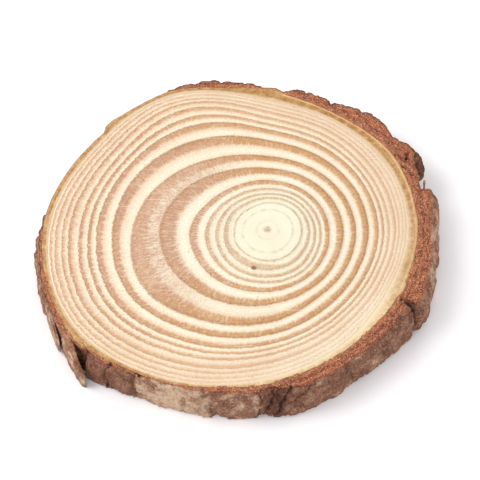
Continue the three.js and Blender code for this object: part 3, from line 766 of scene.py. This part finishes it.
def bark_face(share, upper):
    """The sawn edge of the outer bark on one face: radius, depth below the face and painted shade,
    which darkens its pits. It is crumbly, with a few pits, and rounds off towards the wall."""
    down, flared = (0.0, 0.0) if upper else (1.0, FLARE_DOWN[-1][1])
    top_wall, _ = bark_wall(bark_around, np.array([[down]]), rim + flared * flare)
    edge = np.maximum(top_wall, inner_at + EDGE_LEAST)
    radius = inner_at - OVERLAP + share * (edge - inner_at + OVERLAP)
    points = about_pith(radius, bark_around, 0.0 if upper else -20.0)
    crumbs = rough(points, (0.55, 0.55, 0.55), 65)
    dips = rough(points, (2.4, 2.4, 2.4), 67)
    sunk = CORK_SUNK + CORK_CRUMBS * crumbs + CORK_CRUMBS * dips + CORK_SUNK * smooth(share, 0.86, 1.0)
    pits = np.zeros_like(radius)
    if upper:
        for at, out, half_round, half_across, depth in PITS:
            along = np.radians(wrapped(bark_around - at)) * out / half_round
            pits += depth * np.exp(-(along ** 2) - ((radius - out) / half_across) ** 2)
    # The pits get painted shade as strong as they are deep in millimetres, up to 1.
    return radius, np.maximum(sunk + pits, LEAST_SUNK), np.clip(pits, 0, 1)


wall, wall_hollow = bark_wall(bark_around, drop, rim + flare * flare_down)
upper_radius, upper_sunk, upper_hollow = bark_face(share, True)
lower_radius, lower_sunk, lower_hollow = bark_face(share[::2], False)
hidden = inner_at - HIDDEN_DEPTH + 0 * inside


def present(radius, height, sink=0):
    """Points at the radius where the outer bark is there, and well inside the inner bark where it
    has gone. There the sawn faces are sunk as well."""
    gone = lost_bark(bark_around, height)
    kept = radius + gone * (np.minimum(radius, inner_at - GONE_DEPTH) - radius)
    return about_pith(kept, bark_around, height - sink * gone)


grid = np.concatenate([
    present(upper_radius, THICKNESS - upper_sunk, GONE_SINK),
    present(wall, THICKNESS * (1 - drop)),
    present(lower_radius[::-1], lower_sunk[::-1], -GONE_SINK),
    present(hidden, THICKNESS * inside),
])
# The weather has reached a ragged strip along the sawn edge's outer side.
worn_share = share + 0.10 * rough(about_pith(rim, bark_around, 0.0), (1.6, 1.6, 1.6), 69)
worn = 0.8 * smooth(worn_share, 0.80, 1.0)
face_rows = [1 - worn, np.zeros_like(wall), 1 - worn[::-2], np.ones_like(hidden)]
layer_rows = [upper_radius - inner_at, wall - inner_at, lower_radius[::-1] - inner_at, 0 * hidden]
# Painted shade for each row: in the wall's fissures and recesses and in the pits of the upper sawn edge.
hollow_rows = [upper_hollow, wall_hollow, lower_hollow[::-1], 0 * hidden]
outer_bark = closed_skin(
    "outer_bark",
    grid,
    sawn=np.concatenate(face_rows),
    layer=np.concatenate(layer_rows),
    hollow=np.concatenate(hollow_rows),
    grey=round_table(GREY, bark_around),
)


# Pine bark: sawn edges are terracotta cork in thin layers, crumbly and matt. The weathered wall is
# mauve-brown to grey, with pale scaly flecks and a few spots of green-grey lichen, and painted
# shade darkens its fissures, pits and recesses.
def pine_bark():
    material, add = blank_material("pine_bark")
    place = add("TexCoord", output=3)
    sawn, layer, hollow, grey = (
        add("Attribute", attribute_name=name, output=2) for name in ("sawn", "layer", "hollow", "grey"))
    centred = add("Mapping", place, (-PITH[0] * MM, -PITH[1] * MM, 0))
    flat = add("VectorMath", centred, (1, 1, 0), operation="MULTIPLY")
    way = add("VectorMath", flat, operation="NORMALIZE")

    # Sawn cork: dark and light layers, alternating every 0.6 mm outwards, broken by grains of 0.3 mm.
    spread = add("VectorMath", way, (0.012, 0.012, 0), operation="MULTIPLY")
    layer_place = add("CombineXYZ", 0.0, 0.0, add("Math", layer, MM, operation="MULTIPLY"))
    layer_place = add("VectorMath", spread, layer_place, operation="ADD")
    layers = add("TexNoise", layer_place, 1 / (0.62 * MM), 3.0, 0.6)
    grains = add("TexNoise", place, 1 / (0.28 * MM), 4.0, 0.75)
    layer_share = add("MapRange", layers, 0.43, 0.57, 0.0, 1.0)
    cork = add("Mix", layer_share, linear("#763C29"), linear("#A85F3F"), data_type="RGBA")
    # Its first millimetre is paler, and ends in a thin dark gap.
    young = add("MapRange", layer, 0.3, 1.2, 0.16, 0.0)
    cork = add("Mix", young, cork, linear("#CE9464"), data_type="RGBA")
    gap_noise = add("TexNoise", place, 1 / (2.5 * MM), 3.0)
    wandering = add("Math", gap_noise, -2.0, 2.2, operation="MULTIPLY_ADD")
    gap_far = add("Math", layer, wandering, operation="SUBTRACT")
    gap = add("MapRange", add("Math", gap_far, operation="ABSOLUTE"), 0.05, 0.26, 0.70, 0.0)
    cork = add("Mix", gap, cork, linear("#5A2C1D"), data_type="RGBA")
    light = add("MapRange", grains, 0.52, 0.63, 0.0, 0.80)
    cork = add("Mix", light, cork, linear("#EBB890"), data_type="RGBA")
    shade = add("MapRange", grains, 0.34, 0.46, 0.75, 0.0)
    cork = add("Mix", shade, cork, linear("#6E3724"), data_type="RGBA")

    # Weathered wall: broad patches of 3 mm, pale flecks and dark pores of 0.5 mm, and fibres that
    # run down.
    patches = add("TexNoise", place, 1 / (3.2 * MM), 4.0, 0.6)
    patchy = add("Math", patches, 0.5, operation="SUBTRACT")
    greyness = add("Math", patchy, 2.4, grey, operation="MULTIPLY_ADD")
    weathered = add("ValToRGB", greyness)
    ramp = weathered.node.color_ramp
    stops = ((0.0, "#704230"), (1.0, "#CAAC90"), (0.35, "#7D4F3B"), (0.65, "#916851"))
    for at, colour in stops[2:]:
        ramp.elements.new(at)
    for element, (at, colour) in zip(ramp.elements, sorted(stops)):
        element.position = at
        element.color = linear(colour)
    down_fibres = add("Mapping", place, (0, 0, 0), (0, 0, 0), (1, 1, 0.3))
    fibre = add("TexNoise", down_fibres, 1 / (0.5 * MM), 4.0, 0.7)
    pale = add("MapRange", fibre, 0.54, 0.74, 0.0, 0.40)
    wall = add("Mix", pale, weathered, linear("#C49E7F"), data_type="RGBA")
    dark = add("MapRange", fibre, 0.26, 0.44, 0.60, 0.0)
    wall = add("Mix", dark, wall, linear("#563528"), data_type="RGBA")
    stain = add("MapRange", add("TexNoise", place, 1 / (1.5 * MM), 4.0, 0.7), 0.54, 0.64, 0.0, 0.5)
    wall = add("Mix", stain, wall, linear("#573D2E"), data_type="RGBA")
    rosy = add("MapRange", add("TexNoise", place, 1 / (2.6 * MM), 3.0, 0.6), 0.34, 0.44, 0.40, 0.0)
    wall = add("Mix", rosy, wall, linear("#966250"), data_type="RGBA")
    fleck_share = add("MapRange", grey, 0.25, 0.9, 0.25, 0.85)
    speckle = add("TexNoise", place, 1 / (0.55 * MM), 3.0, 0.8)
    flecks = add("MapRange", speckle, 0.53, 0.64, 0.0, fleck_share)
    wall = add("Mix", flecks, wall, linear("#D3B596"), data_type="RGBA")
    pore_share = add("MapRange", grey, 0.4, 0.85, 0.65, 0.30)
    pores = add("MapRange", speckle, 0.36, 0.46, pore_share, 0.0)
    wall = add("Mix", pores, wall, linear("#573528"), data_type="RGBA")
    lichen_patch = add("TexNoise", place, 1 / (2.2 * MM), 3.0, 0.6)
    lichen = add("MapRange", lichen_patch, 0.60, 0.68, 0.0, 0.55)
    wall = add("Mix", lichen, wall, linear("#635C42"), data_type="RGBA")

    colour = add("Mix", sawn, wall, cork, data_type="RGBA")
    # Painted shade: dark brown laid over the fissures, pits, recesses and the free plates' inner faces.
    painted_shade_share = add("MapRange", hollow, 0.10, 0.85, 0.0, 0.82)
    colour = add("Mix", painted_shade_share, colour, linear("#45261D"), data_type="RGBA")
    heights = add("Math", add("Math", grains, sawn, operation="MULTIPLY"), speckle, operation="ADD")
    heights = add("Math", heights, fibre, operation="ADD")
    bump = add("Bump", 0.7, 0.00022, 0.1, heights)
    add("OutputMaterial", add("BsdfPrincipled", colour, 0.0, 0.9, 1.38, 1.0, bump))
    return material


bark_material = pine_bark()
outer_bark.data.materials.append(bark_material)
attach(outer_bark, "root")
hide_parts("wood_slice")


# Free bark plates
# Pieces of the outer bark that stand free at one end: a plate that peels off at the lower left like a
# label, a grey scale outside it, a curl like an ear at the right, and a splinter beside it.

# Each station is (degrees, inner radius, outer radius, foot height, top height), and each plate says
# how much of its upper edge is sawn, how grey it is and how much painted shade darkens it, from 0 to 1.
PLATES = {
    "peeling_plate": (1.0, 0.68, 0.0, (
        (-158, 51.5, 52.4, 0.25, 9.30), (-153, 51.6, 52.5, 0.20, 9.32), (-150, 51.6, 52.7, 0.15, 9.30),
        (-148.5, 51.6, 52.95, 0.12, 9.30), (-147, 51.6, 53.2, 0.12, 9.20), (-145, 51.8, 53.5, 0.12, 8.9),
        (-143.5, 52.2, 53.6, 0.12, 8.2), (-142, 52.6, 53.8, 0.14, 7.2), (-140.5, 52.9, 54.0, 0.18, 5.8),
        (-139.3, 53.1, 54.1, 0.20, 4.4), (-138.3, 53.2, 54.0, 0.25, 3.2),
    )),
    "grey_scale": (0.0, 0.75, 0.0, (
        (-161, 51.8, 52.7, 0.5, 8.6), (-158, 52.1, 53.0, 0.3, 8.3), (-154, 52.5, 53.3, 0.25, 7.8),
        (-152, 52.8, 53.5, 0.25, 7.2), (-150.2, 53.1, 53.7, 0.6, 6.6), (-149.2, 53.3, 53.7, 1.6, 5.4),
    )),
    "curled_plate": (0.0, 0.30, 0.52, (
        (23.3, 37.7, 38.5, 7.0, 8.0), (24.0, 37.6, 39.4, 6.6, 8.3), (25.0, 37.6, 40.2, 6.2, 8.6),
        (26.5, 37.6, 40.8, 5.8, 8.75), (28.5, 37.8, 41.1, 4.6, 8.9), (31, 38.0, 41.2, 2.2, 9.0),
        (34, 38.8, 41.2, 0.6, 9.0),
    )),
    "bark_splinter": (0.3, 0.45, 0.25, (
        (17.4, 37.3, 37.9, 7.0, 9.1), (19.2, 38.0, 38.5, 7.2, 9.2), (20.4, 38.4, 38.85, 7.5, 9.2),
        (21.6, 38.7, 38.95, 8.0, 9.0),
    )),
}
PLATE_ROWS = 96
WALL_STEPS = 34
EDGE_STEPS = 8


def free_plate(name, edge_sawn, grey, dark, stations):
    """A curved plate: its stations are blended along it, and at each a loop runs out along the foot,
    up the outer face, in along the top and down the inner face. Its thickness fades at both ends
    by sqrt(1 - t to the power 14), where t runs from -1 to 1 along it. Noise is added to every side."""
    table = np.array(stations)
    degrees = np.linspace(table[0, 0], table[-1, 0], PLATE_ROWS)
    places = table[:, 0]
    inner, outer, foot, top = (np.interp(degrees, places, table[:, k])[:, None] for k in range(1, 5))
    up = np.linspace(0, 1, WALL_STEPS, endpoint=False)
    over = np.linspace(0, 1, EDGE_STEPS, endpoint=False)
    out_share = np.concatenate([over, np.ones(WALL_STEPS), 1 - over, np.zeros(WALL_STEPS)])
    up_share = np.concatenate([np.zeros(EDGE_STEPS), up, np.ones(EDGE_STEPS), 1 - up])
    middle = (inner + outer) / 2
    blunt = np.sqrt(np.clip(1 - np.abs(np.linspace(-1, 1, PLATE_ROWS)) ** 14, 0.01, 1))[:, None]
    half = (outer - inner) / 2 * blunt
    out = middle + half * (2 * out_share - 1)
    ragged = about_pith(middle, degrees[:, None], 0.0)
    height = foot + (top - foot) * up_share + 0.35 * up_share * rough(ragged, (1.1, 1.1, 1.1), 71)
    points = about_pith(out, degrees[:, None], height)
    layers = layered(points, (2.6, 2.6, 2.2), 4, 73)
    relief = 0.45 * (layers - 0.6) + 0.10 * rough(points, (0.7, 0.7, 2.0), 75)
    outward = np.where(out_share == 1, 1.0, np.where(out_share == 0, -0.35, 0.0))
    out = out + outward * relief * np.minimum(1, 2 * half)
    height = np.clip(height + 0.08 * grain(points, (0.5, 0.5, 0.5), 77), 0.05, THICKNESS - 0.05)
    points = about_pith(out, degrees[:, None], height)
    return closed_skin(
        name,
        points,
        poles=[points[0].mean(axis=0), points[-1].mean(axis=0)],
        sawn=np.where(up_share == 1, edge_sawn, 0.0) * np.linspace(1, 0.25, PLATE_ROWS)[:, None],
        layer=1.2 + out_share * (outer - inner),
        # Painted shade: the plate's own share, more on its inner face, which faces the bark behind it,
        # and on its lower layers.
        hollow=dark + np.where(out_share == 0, 0.55, 0.0) + 0.35 * np.clip(0.5 - layers, 0, 1),
        grey=grey + 0 * out,
    )


for plate_name, plate_values in PLATES.items():
    plate = free_plate(plate_name, *plate_values)
    plate.data.materials.append(bark_material)
    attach(plate, "root")
    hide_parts("wood_slice")
